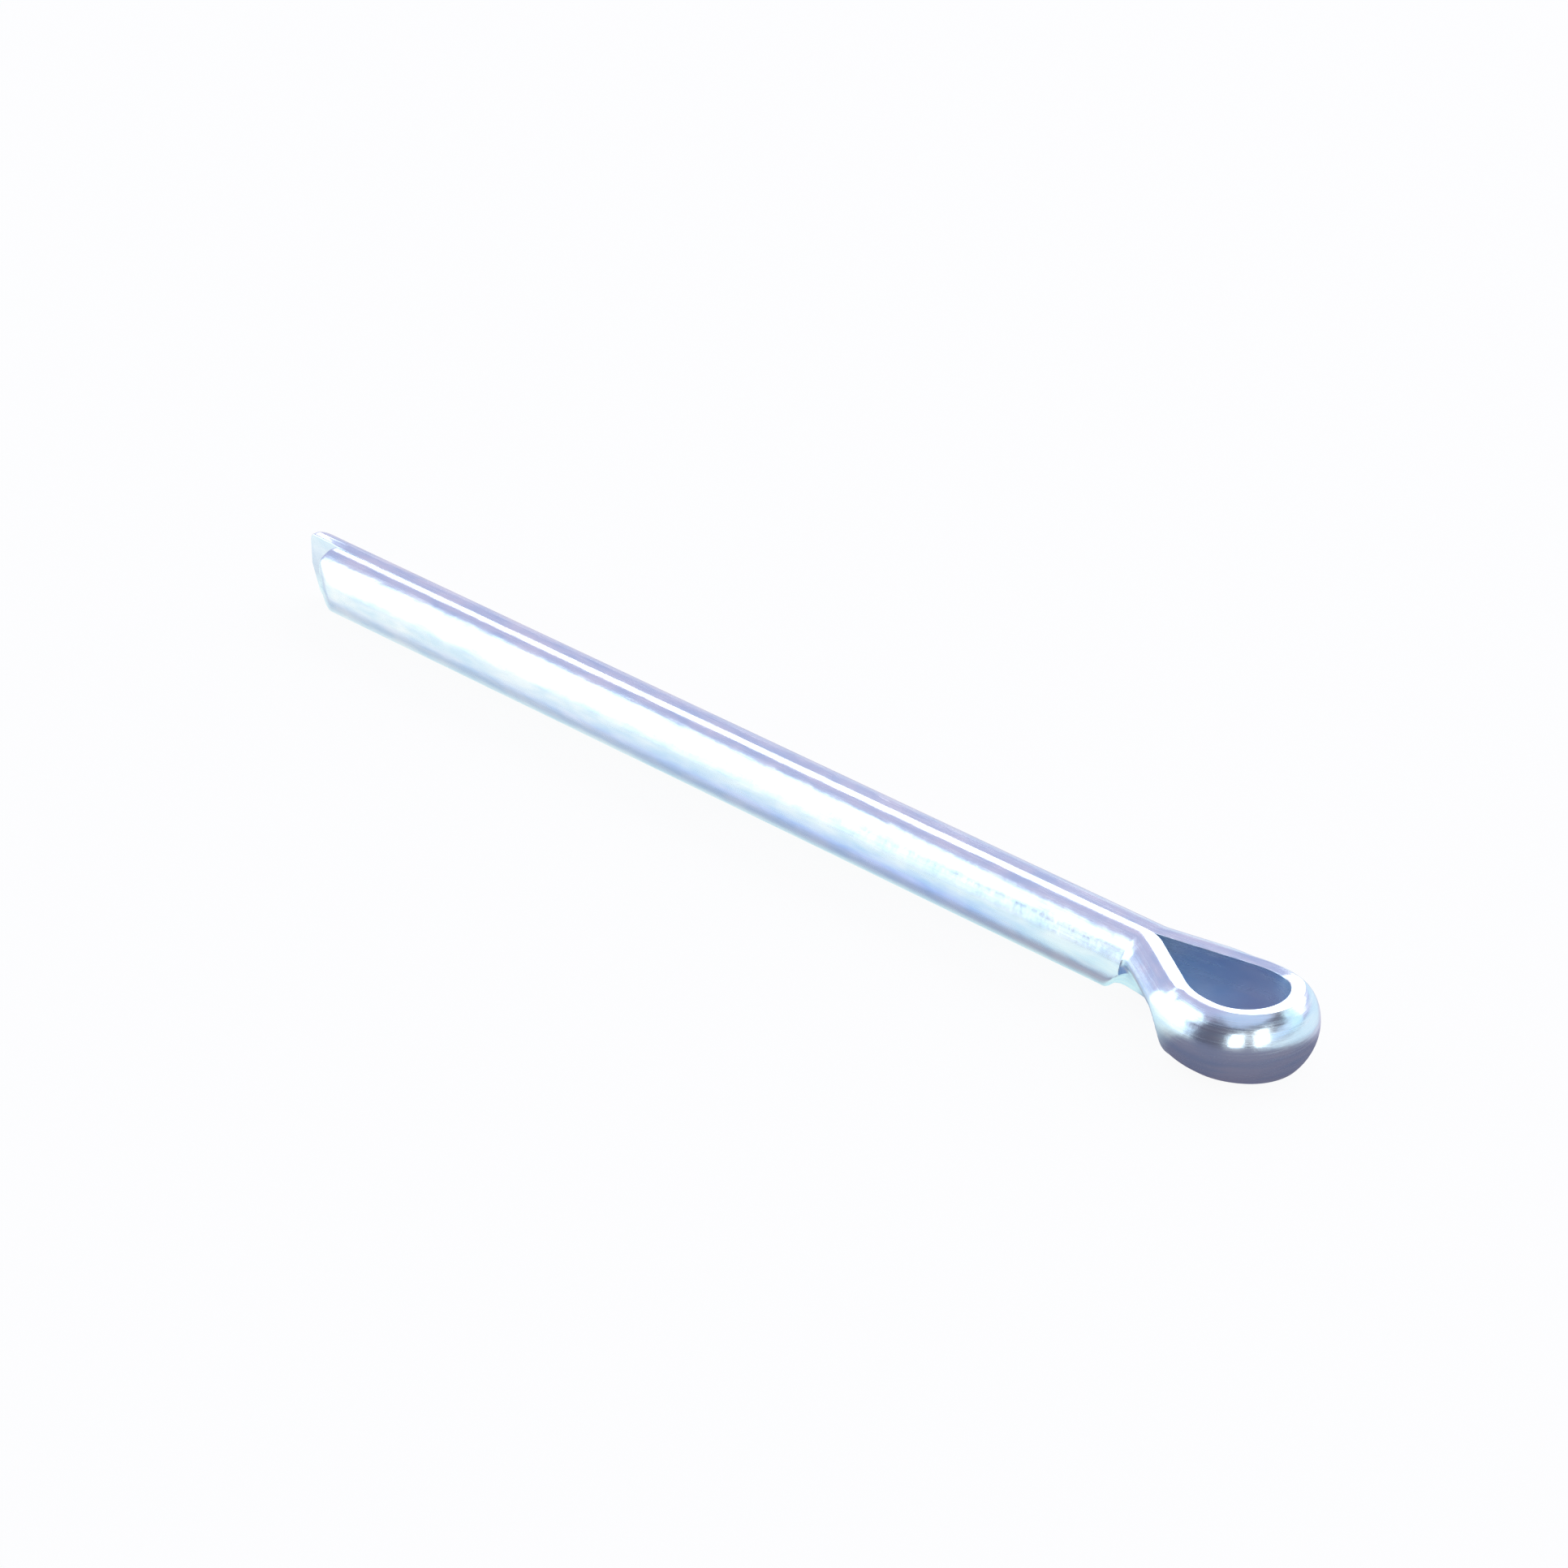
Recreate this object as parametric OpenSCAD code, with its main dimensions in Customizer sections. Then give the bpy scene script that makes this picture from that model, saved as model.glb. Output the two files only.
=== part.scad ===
// Split cotter pin, one length of half-round wire folded back on itself, lying on its side.
// The shank runs along X with its tips at -X and the eye at +X. The eye's axis is Z.
// The origin is on the shank's centre line, in the plane of the shoulder.

/* [Shank] */
// Diameter of the closed shank, two half-round legs together
shank_d = 2.8; // [2.4:0.1:3.4]
// Length of the short leg, from the shoulder to its tip
leg_len = 45; // [20:1:80]
// How much further the long leg reaches
long_leg_extra = 1.7; // [0.5:0.1:4]
// Gap between the flats of the legs at the shoulder
slit_root = 0.04; // [0.03:0.01:0.1]
// Angle between the inner flats of the legs, which open towards the tips
spring_angle = 0.14; // [0.1:0.02:0.5]
// Rounding of the edge of each leg's tip
tip_round = 0.3; // [0.1:0.05:0.5]
// Distance from the inner flat to the bevel on the back of a tip
bevel_start = 0.9; // [0.6:0.05:1.1]
// Angle of that bevel to the leg
bevel_angle = 28; // [20:2:60]
// Slant of the underside of a tip
tip_slant = 20; // [0:5:40]
// Rounding of the shoulder where the round back of a leg ends
shoulder_round = 0.25; // [0.1:0.05:0.5]
// Slope of the pinched underside of the shoulder
pinch_angle = 45; // [30:5:60]

/* [Eye] */
// Reach of the hole from the shoulder to its far end
hole_len = 6.65; // [6.4:0.05:8]
// Distance from the centre line to the edge of the hole on its full side
hole_full = 2.18; // [1.8:0.02:2.4]
// Distance from the centre line to the edge of the hole on its flat side
hole_flat = 0.94; // [0.6:0.02:1.4]
// Straight stretch of the hole's edge between the bowl and the nose
bowl_flat = 0.2; // [0.05:0.05:0.6]
// Radius of the bend out of the short leg
full_neck_r = 2; // [1.4:0.1:2.4]
// Radius of the bowl on the full side
bowl_r = 2.8; // [2:0.1:3.2]
// Radius of the bend out of the long leg
flat_neck_r = 2.8; // [2:0.1:5]
// Radius of the bend from the nose into the flat side
flat_bowl_r = 4; // [2:0.1:5]

/* [Wire] */
// Width of the flat land along each long edge of the wire
land_w = 0.3; // [0.2:0.02:0.4]
// Width of that land out of the short leg, where the wire is pressed
pressed_land_w = 0.42; // [0.3:0.02:0.5]
// Width of that land at the nose
nose_land_w = 0.5; // [0.3:0.02:0.6]
// Radius of the corner between the land and the inner flat
corner_r = 0.08; // [0.04:0.01:0.15]
// Thickness where the wire's back is pressed flat, out of the short leg
full_neck_t = 0.9; // [0.7:0.05:1.1]
// Thickness round the bowl
bowl_t = 1.25; // [1.1:0.05:1.4]
// Thickness at the nose
nose_t = 1.02; // [0.9:0.02:1.3]
// Thickness along the flat side of the eye
flat_t = 1.15; // [1.1:0.05:1.4]
// Thickness where the wire's back is pressed flat, into the long leg
flat_neck_t = 1.1; // [0.8:0.05:1.2]

/* [Hidden] */

shank_r = shank_d / 2;
long_leg_len = leg_len + long_leg_extra;
half_slit = slit_root / 2;
// Height of the lands above and below the centre line
land_z = sqrt(pow(shank_r, 2) - pow(land_w, 2));
// How far the wire of the eye reaches into the ends of the legs
root_len = 0.6;
// How much smaller the buried end of that wire is, all round
root_inset = 0.06;

// The inner flat's outline in plan: a bend out of the short leg, a straight arm, the bowl,
// the half-round nose, the bend back, a straight arm and a bend into the long leg.
nose_r = (hole_full + hole_flat) / 2;
nose_x = hole_len - nose_r;
full_run = nose_x - bowl_flat;
full_rise = hole_full - half_slit;
flat_rise = hole_flat - half_slit;

// Two opposite bends with radii that add up to r, and a straight tangent between them, climb
// rise over run: the straight's length, and the angle of each bend
function tangent_len(run, rise, r) = sqrt(pow(run, 2) + pow(rise, 2) - 2 * rise * r);
function bend_angle(run, rise, r) = atan2(rise - r, run) + atan2(r, tangent_len(run, rise, r));
function arc_len(r, angle) = r * angle * PI / 180;

full_arm = tangent_len(full_run, full_rise, full_neck_r + bowl_r);
full_angle = bend_angle(full_run, full_rise, full_neck_r + bowl_r);
flat_arm = tangent_len(nose_x, flat_rise, flat_neck_r + flat_bowl_r);
flat_angle = bend_angle(nose_x, flat_rise, flat_neck_r + flat_bowl_r);

// Each stretch of the outline: [length, turn to the left]
STRETCHES = [
    [arc_len(full_neck_r, full_angle), -full_angle],
    [full_arm, 0],
    [arc_len(bowl_r, full_angle), full_angle],
    [bowl_flat, 0],
    [arc_len(nose_r, 180), 180],
    [arc_len(flat_bowl_r, flat_angle), flat_angle],
    [flat_arm, 0],
    [arc_len(flat_neck_r, flat_angle), -flat_angle]
];
// No step along the outline is longer than this, or turns by more than this
STEP_LEN = 0.6;
STEP_TURN = 6;
function steps(stretch) = max(ceil(stretch[0] / STEP_LEN), ceil(abs(stretch[1]) / STEP_TURN));

// A point of the outline is [x, y, heading, distance along it]
function advance(p, len, turn) =
    let (half_turn = turn / 2,
         chord = turn == 0 ? len : len * sin(half_turn) / (half_turn * PI / 180),
         heading = p[2] + half_turn)
    [p[0] + chord * cos(heading), p[1] + chord * sin(heading), p[2] + turn, p[3] + len];
function stretch_ends(p, i = 0) =
    i == len(STRETCHES) ? [p]
    : concat([p], stretch_ends(advance(p, STRETCHES[i][0], STRETCHES[i][1]), i + 1));
ENDS = stretch_ends([0, -half_slit, 0, 0]);
LAST = ENDS[len(STRETCHES)];
OUTLINE = concat(
    [for (i = [0 : len(STRETCHES) - 1], k = [0 : steps(STRETCHES[i]) - 1])
        let (part = k / steps(STRETCHES[i]))
        advance(ENDS[i], STRETCHES[i][0] * part, STRETCHES[i][1] * part)],
    [LAST]
);

// Sizes of the wire at places along the outline, eased from one row to the next:
// [distance, thickness of the round wire, depth that its back is pressed by, width of its lands]
full_press = shank_r - full_neck_t;
flat_press = flat_t - flat_neck_t;
SIZES = [
    [ENDS[0][3], shank_r, full_press, land_w],
    [ENDS[1][3], shank_r, full_press, pressed_land_w],
    [ENDS[2][3], shank_r, full_press, pressed_land_w],
    [ENDS[3][3], bowl_t, 0, land_w],
    [ENDS[4][3], bowl_t, 0, land_w],
    [(ENDS[4][3] + ENDS[5][3]) / 2, nose_t, 0, nose_land_w],
    [ENDS[5][3], flat_t, 0, land_w],
    [ENDS[6][3], flat_t, 0, land_w],
    [ENDS[7][3], flat_t, flat_press, land_w],
    [LAST[3], shank_r, shank_r - flat_neck_t, land_w]
];
function ease(f) = f * f * (3 - 2 * f);
function eased(keys, s, i = 0) =
    s <= keys[i + 1][0] || i == len(keys) - 2
    ? let (f = (s - keys[i][0]) / (keys[i + 1][0] - keys[i][0]))
        keys[i] + (keys[i + 1] - keys[i]) * ease(max(0, min(1, f)))
    : eased(keys, s, i + 1);

// The wire's section as [distance out from the inner flat, height]: a rounded corner, the land,
// and a round back that is at least a little flat along its ridge
ARC_STEPS = 7;
CORNER_STEPS = 2;
RIDGE_PRESS = 0.01;
function section(sizes, inset) =
    let (top = land_z - inset,
         back = sizes[1] - inset,
         rise = back - sizes[3],
         back_r = (pow(rise, 2) + pow(top, 2)) / (2 * rise),
         land_angle = asin(top / back_r),
         ridge_angle = acos(1 - max(sizes[2], RIDGE_PRESS) / back_r),
         corner = [for (k = [0 : CORNER_STEPS])
             let (a = 90 * k / CORNER_STEPS)
             [inset + corner_r * (1 - cos(a)), top - corner_r * (1 - sin(a))]],
         arc = [for (k = [0 : ARC_STEPS])
             let (a = land_angle + (ridge_angle - land_angle) * k / ARC_STEPS)
             [back - back_r * (1 - cos(a)), back_r * sin(a)]],
         half = concat(corner, arc))
    concat(half, [for (k = [len(half) - 1 : -1 : 0]) [half[k][0], -half[k][1]]]);
function ring(p, sizes, inset = 0) =
    [for (q = section(sizes, inset))
        [p[0] + q[0] * sin(p[2]), p[1] - q[0] * cos(p[2]), q[1]]];

RINGS = concat(
    [ring([-root_len, -half_slit, 0], SIZES[0], root_inset)],
    [for (p = OUTLINE) ring(p, eased(SIZES, p[3]))],
    [ring([LAST[0] - root_len, half_slit, 180], SIZES[len(SIZES) - 1], root_inset)]
);

// A solid skin over rings of equal length, closed by a fan at each end
module loft(rings) {
    n = len(rings[0]);
    last = (len(rings) - 1) * n;
    sides = [for (i = [0 : len(rings) - 2], k = [0 : n - 1])
        let (a = i * n + k, b = i * n + (k + 1) % n)
        each [[a, a + n, b], [b, a + n, b + n]]];
    caps = [for (k = [1 : n - 2]) each [[0, k, k + 1], [last, last + k + 1, last + k]]];
    polyhedron([for (r = rings) each r], concat(sides, caps));
}

// A quarter circle into a corner at [shank_r, x]: from the side of the bar to its end
ROUND_STEPS = 6;
function round_end(x, r, end) =
    [for (k = [0 : ROUND_STEPS])
        let (a = 90 * k / ROUND_STEPS)
        [shank_r - r * (1 - cos(a)), x + end * r * sin(a)]];

// Half the outline of a leg turned about its axis, rounded at the shoulder and at the tip
module leg_outline(len) {
    tip = round_end(len - tip_round, tip_round, 1);
    shoulder = round_end(shoulder_round, shoulder_round, -1);
    polygon(concat(
        [[0, 0]],
        [for (k = [ROUND_STEPS : -1 : 0]) shoulder[k]],
        tip,
        [[0, len]]
    ));
}

// A leg along -X on the -Y side: a half-round bar with flat lands, pinched under the shoulder,
// and with a bevel and a slant at its tip
LEG_FACETS = 96;
module leg(len, neck_t) {
    difference() {
        intersection() {
            rotate([0, -90, 0])
                rotate_extrude($fn = LEG_FACETS)
                    leg_outline(len);
            translate([0, -half_slit, 0])
                rotate([0, 0, spring_angle / 2])
                    translate([-len - shank_d, -shank_d, -land_z])
                        cube([len + 2 * shank_d, shank_d, 2 * land_z]);
        }
        // Pinch: the round back under the slope goes, down to the neck's thickness
        rotate([0, pinch_angle - 90, 0])
            translate([0, -shank_d, -2 * shank_d])
                cube([2 * shank_d, shank_d - half_slit - neck_t, 2 * shank_d]);
        // Bevel on the back of the tip
        translate([-len, -half_slit - bevel_start, 0])
            rotate([0, 0, -bevel_angle])
                translate([-shank_d, -shank_d, -shank_d])
                    cube([3 * shank_d, shank_d, 2 * shank_d]);
        // Slant under the tip
        translate([-len, 0, 0])
            rotate([0, -tip_slant, 0])
                translate([-shank_d, -shank_d, -2 * shank_d])
                    cube([shank_d, 2 * shank_d, 3 * shank_d]);
    }
}

module eye() {
    loft(RINGS);
}

module cotter_pin() {
    color("lightsteelblue")
        union() {
            eye();
            leg(leg_len, full_neck_t);
            mirror([0, 1, 0])
                leg(long_leg_len, flat_neck_t);
        }
}

cotter_pin();
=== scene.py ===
"""Split cotter pin of half-round steel wire, bright zinc plated, on a pale studio floor."""

from math import asin, atan2, cos, pi, radians, sin, sqrt, tan

import bpy
from bpy.props import FloatProperty, FloatVectorProperty, PointerProperty
from mathutils import Matrix, Vector


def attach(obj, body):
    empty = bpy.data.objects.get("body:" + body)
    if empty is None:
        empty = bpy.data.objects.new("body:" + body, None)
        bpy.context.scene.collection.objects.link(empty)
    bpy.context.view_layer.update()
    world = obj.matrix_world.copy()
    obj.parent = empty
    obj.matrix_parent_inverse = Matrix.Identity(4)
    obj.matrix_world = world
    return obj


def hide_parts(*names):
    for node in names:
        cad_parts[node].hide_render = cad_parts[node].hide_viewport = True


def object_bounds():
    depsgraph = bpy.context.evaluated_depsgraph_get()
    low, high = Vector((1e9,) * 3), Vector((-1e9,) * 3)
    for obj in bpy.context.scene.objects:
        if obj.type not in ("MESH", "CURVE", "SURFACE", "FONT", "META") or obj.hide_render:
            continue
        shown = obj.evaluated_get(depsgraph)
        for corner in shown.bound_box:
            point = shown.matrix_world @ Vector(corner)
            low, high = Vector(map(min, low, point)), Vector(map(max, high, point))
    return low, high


bl_info = {
    "name": "Split cotter pin",
    "version": (1, 0, 0),
    "blender": (4, 5, 0),
    "location": "3D View > Sidebar > Cotter Pin",
    "description": "Folds a half-round wire into a cotter pin and sets it on a studio floor",
    "category": "Add Mesh",
}

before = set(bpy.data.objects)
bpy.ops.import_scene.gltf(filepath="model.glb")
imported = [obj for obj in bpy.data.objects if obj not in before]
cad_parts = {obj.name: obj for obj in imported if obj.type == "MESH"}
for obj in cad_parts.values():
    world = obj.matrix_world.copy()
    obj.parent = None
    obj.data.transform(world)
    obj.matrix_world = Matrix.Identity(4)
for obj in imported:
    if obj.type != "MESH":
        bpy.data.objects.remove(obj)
CAD_BOX = [list(corner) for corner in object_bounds()]

MM = 0.001
SENSOR_MM = 36.0

# Steps round half the wire's section, from the ridge of the back to the middle of the flat
BACK_STEPS = 20
LAND_STEPS = 4
CORNER_STEPS = 4
FLAT_STEPS = 5
MERGE = 0.003 * MM
# Edges that turn by more than this are sharp
CREASE = radians(25)
SPLIT = "ShaderNodeSeparateXYZ"

# Steps along the wire
CAP_STEPS = 4
ROUND_STEPS = 6
LEG_STEP = 1.0 * MM
BEND_STEP = 0.11 * MM

# Over these lengths the shoulder's pinch and the tip's bevel fade out along the wire
PINCH_RUN = 1.2 * MM
BEVEL_RUN = 3.0 * MM
# A press this far outside the wire's back leaves it round
UNPRESSED = 0.3 * MM

# The pressed neck's section starts to change this far before the end of its arm, and past that
# end its thickness, its pressed back and that back's tilt have changed after these lengths
NECK_LEAD = 0.3 * MM
NECK_FADE = 0.6 * MM
PRESS_FADE = 1.0 * MM
TILT_FADE = 1.2 * MM
# The neck's lower edge is lifted in full up to here, and no more after the second length
LIFT_FULL = 0.9 * MM
LIFT_END = 2.4 * MM
# Share of that lift at the shoulder itself
LIFT_AT_SHOULDER = 0.3
# Share of the neck's bend at which its land is widest
LAND_WIDEST = 0.7
# Shares of the nose between which its land is widest, and where it is narrow again
NOSE_LAND = (0.6, 0.78, 0.95)
# The flat side is thicker by this at its far end, and round like the leg after this length
FLAT_SWELL = 0.05 * MM
FLAT_FADE = 1.5 * MM
# Power of the curve in which the long leg springs away
SPRING_POWER = 1.5

# Half the floor's side, in metres
FLOOR_HALF = 0.9
# Name, azimuth, elevation, width and height in degrees, radiance, colour and distance in metres
LAMPS = (
    ("softbox_back_left", 132, 33, 30, 20, 2.0, "#FFFFFF", 0.6),
    ("softbox_back", 104, 30, 27, 40, 1.5, "#F6F4FF", 0.6),
    ("softbox_back_right", 72, 30, 36, 42, 1.5, "#F6F4FF", 0.6),
    ("softbox_right", 42, 22, 24, 40, 0.95, "#CCF2FF", 0.6),
    ("softbox_left", 209.5, 31, 31, 40, 1.35, "#E8FFFF", 0.6),
    ("card_left", 212, 9, 48, 27, 1.12, "#E2F4FF", 0.5),
    ("window_one", 308, 21, 22, 34, 2.2, "#F0FAFF", 0.6),
    ("window_two", 346, 20, 22, 34, 2.2, "#F0FAFF", 0.6),
    ("card_right", 14, 12, 30, 18, 0.9, "#C8E4FF", 0.6),
)


def linear(code):
    """An sRGB hex colour as linear RGB with alpha."""
    parts = [int(code[i : i + 2], 16) / 255 for i in (1, 3, 5)]
    return [c / 12.92 if c <= 0.04045 else ((c + 0.055) / 1.055) ** 2.4 for c in parts] + [1.0]


def add(tree, kind, inputs=None, **settings):
    """Adds a node with its settings. An input takes a node's first output, a socket or a value."""
    node = tree.nodes.new(kind)
    for key, value in settings.items():
        setattr(node, key, value)
    for key, value in (inputs or {}).items():
        if isinstance(value, bpy.types.Node):
            value = value.outputs[0]
        if isinstance(value, bpy.types.NodeSocket):
            tree.links.new(value, node.inputs[key])
        else:
            node.inputs[key].default_value = value
    return node


def length_prop(name, description, millimetres):
    """A length that is shown in the scene's units."""
    return FloatProperty(
        name=name, description=description, default=millimetres * MM, unit="LENGTH", precision=5
    )


def angle_prop(name, description, angle):
    """An angle that is shown in degrees."""
    return FloatProperty(
        name=name, description=description, default=radians(angle), subtype="ANGLE", precision=4
    )


def share_prop(name, description, share):
    """A share between 0 and 1."""
    return FloatProperty(
        name=name, description=description, default=share, min=0, max=1, subtype="FACTOR"
    )


def colour_prop(name, description, code):
    """A colour that is picked as it is seen."""
    return FloatVectorProperty(
        name=name,
        description=description,
        default=linear(code)[:3],
        subtype="COLOR",
        min=0,
        max=1,
    )


class CotterWire(bpy.types.PropertyGroup):
    """Sizes of the folded wire."""

    shank_diameter: length_prop("Shank diameter", "Across the two closed legs", 2.8)
    leg_length: length_prop("Leg length", "From the shoulder to the short leg's tip", 45)
    long_leg_extra: length_prop("Long leg's extra", "How much further the long leg reaches", 1.7)
    slit: length_prop("Slit", "Gap between the legs at the shoulder", 0.04)
    tip_gap: length_prop("Tip gap", "How far the long leg springs away at its tip", 0.08)
    tip_round: length_prop("Tip rounding", "Edge of a leg's sheared tip", 0.3)
    bevel_start: length_prop("Bevel start", "From the inner flat to the bevel of the tip", 0.9)
    bevel_angle: angle_prop("Bevel angle", "Of the tip's bevel to the leg", 28)
    tip_slant: angle_prop("Tip slant", "Of the tip's underside", 20)
    shoulder_round: length_prop("Shoulder rounding", "Where a leg's round back ends", 0.5)
    shoulder_fillet: length_prop("Shoulder fillet", "In the corner between leg and neck", 0.5)
    pinch: angle_prop("Pinch", "Slope of the shoulder's underside", 45)
    hole_length: length_prop("Hole length", "From the shoulder to the hole's far end", 6.65)
    hole_full: length_prop("Hole, full side", "Centre line to the hole's full side", 2.18)
    hole_flat: length_prop("Hole, flat side", "Centre line to the hole's flat side", 0.94)
    bowl_flat: length_prop("Bowl flat", "Straight stretch between bowl and nose", 0.2)
    full_neck_radius: length_prop("Full neck radius", "Bend out of the short leg", 2.0)
    bowl_radius: length_prop("Bowl radius", "Bend of the full side", 2.8)
    flat_neck_radius: length_prop("Flat neck radius", "Bend out of the long leg", 2.8)
    flat_bowl_radius: length_prop("Flat bowl radius", "Bend from the nose into the flat side", 4.0)
    bowl_thickness: length_prop("Bowl thickness", "Wire round the bowl", 1.25)
    nose_thickness: length_prop("Nose thickness", "Wire at the nose", 1.02)
    flat_thickness: length_prop("Flat side thickness", "Wire along the flat side", 1.15)
    full_neck_press: length_prop("Full neck press", "To the neck's pressed back", 1.0)
    flat_neck_press: length_prop("Flat neck press", "To the other neck's pressed back", 1.1)
    press_rounding: length_prop("Press rounding", "Along the edges of a pressed back", 0.2)
    press_tilt: angle_prop("Press tilt", "Of the full neck's pressed back, in towards the floor", 29)
    lift: share_prop("Lift", "Share by which the neck's lower edge is pressed up", 0.3)
    land: length_prop("Land", "Flat along the edges of the short leg", 0.3)
    pressed_land: length_prop("Pressed land", "Flat along the edges of the neck", 0.48)
    nose_land: length_prop("Nose land", "Flat along the edges of the nose", 0.5)
    land_slope: angle_prop("Land slope", "Of the long leg's lands, down to its inner flat", 18)
    corner_radius: length_prop("Corner radius", "Between a land and the inner flat", 0.05)
    far_corner_radius: length_prop("Long leg's corner", "Radius of the same corner there", 0.01)


class CotterFinish(bpy.types.PropertyGroup):
    """Zinc plating of the wire."""

    zinc: colour_prop("Zinc", "Fresh zinc under a clear blue passivate", "#F8FFFF")
    passivate: colour_prop("Passivate", "Where the blue passivate lies thicker", "#DEF2FC")
    smooth: share_prop("Least roughness", "Burnished streaks", 0.18)
    rough: share_prop("Most roughness", "Matt streaks", 0.3)


class CotterStage(bpy.types.PropertyGroup):
    """Floor, light and camera."""

    # Painted shade before the eye and inside the hole, and a painted reflection of the room behind:
    # colours that the floor shows only to the metal
    shade: colour_prop("Shade", "Floor before the eye, as the metal shows it", "#6B6882")
    slate: colour_prop("Slate", "Floor inside the hole, by the neck", "#8098C4")
    blue: colour_prop("Blue", "Floor inside the hole, by the nose", "#666A98")
    violet: colour_prop("Violet", "Floor behind, as the metal shows it", "#D2C8DC")
    floor: colour_prop("Floor", "White card", "#F2F2F4")
    room: colour_prop("Room", "Dark room before the pin and on its right", "#656173")
    wall: colour_prop("Wall", "Violet-grey wall behind the pin, on the left", "#C2BCDD")
    ceiling: colour_prop("Ceiling", "Pale ceiling", "#CED7F3")
    azimuth: angle_prop("Azimuth", "Camera's turn round the pin from -Y towards +X", 46.623)
    elevation: angle_prop("Elevation", "Camera's height above the floor", 27.6365)
    roll: angle_prop("Roll", "Camera's turn about its own axis", -0.7057)
    distance: length_prop("Distance", "Camera to its target", 177.3873)
    target_x: length_prop("Target X", "Point on the shank that the camera looks at", -18.6383)
    target_y: length_prop("Target Y", "Its offset from the centre line", 0.2904)
    focal_share: FloatProperty(
        name="Focal length", description="In widths of the picture", default=5811.8 / 1932
    )


# ---------------------------------------------------------------- the wire's path


def advance(point, length, turn):
    """Moves [x, y, heading] along an arc of that length and turn."""
    x, y, heading = point
    half = turn / 2
    chord = length * sin(half) / half if half else length
    return [
        x + chord * cos(heading + half),
        y + chord * sin(heading + half),
        heading + turn,
    ]


def climb(run, rise, radius):
    """Two opposite bends with radii that add up to radius: the straight between, and their angle."""
    straight = sqrt(run * run + rise * rise - 2 * rise * radius)
    return straight, atan2(rise - radius, run) + atan2(radius, straight)


def ease(f):
    """A soft start and stop between 0 and 1."""
    f = max(0.0, min(1.0, f))
    return f * f * (3 - 2 * f)


def keyed(keys, s):
    """The value at s of eased keys [place, value]."""
    for (a, low), (b, high) in zip(keys, keys[1:]):
        if s <= b:
            return low + (high - low) * ease((s - a) / (b - a))
    return keys[-1][1]


def quarter(length, depth):
    """A quarter ellipse from where it leaves a side, as [distance along, drop from the side]."""
    angles = [pi / 2 * k / ROUND_STEPS for k in range(ROUND_STEPS + 1)]
    return [(length * sin(a), depth * (1 - cos(a))) for a in angles]


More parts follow.
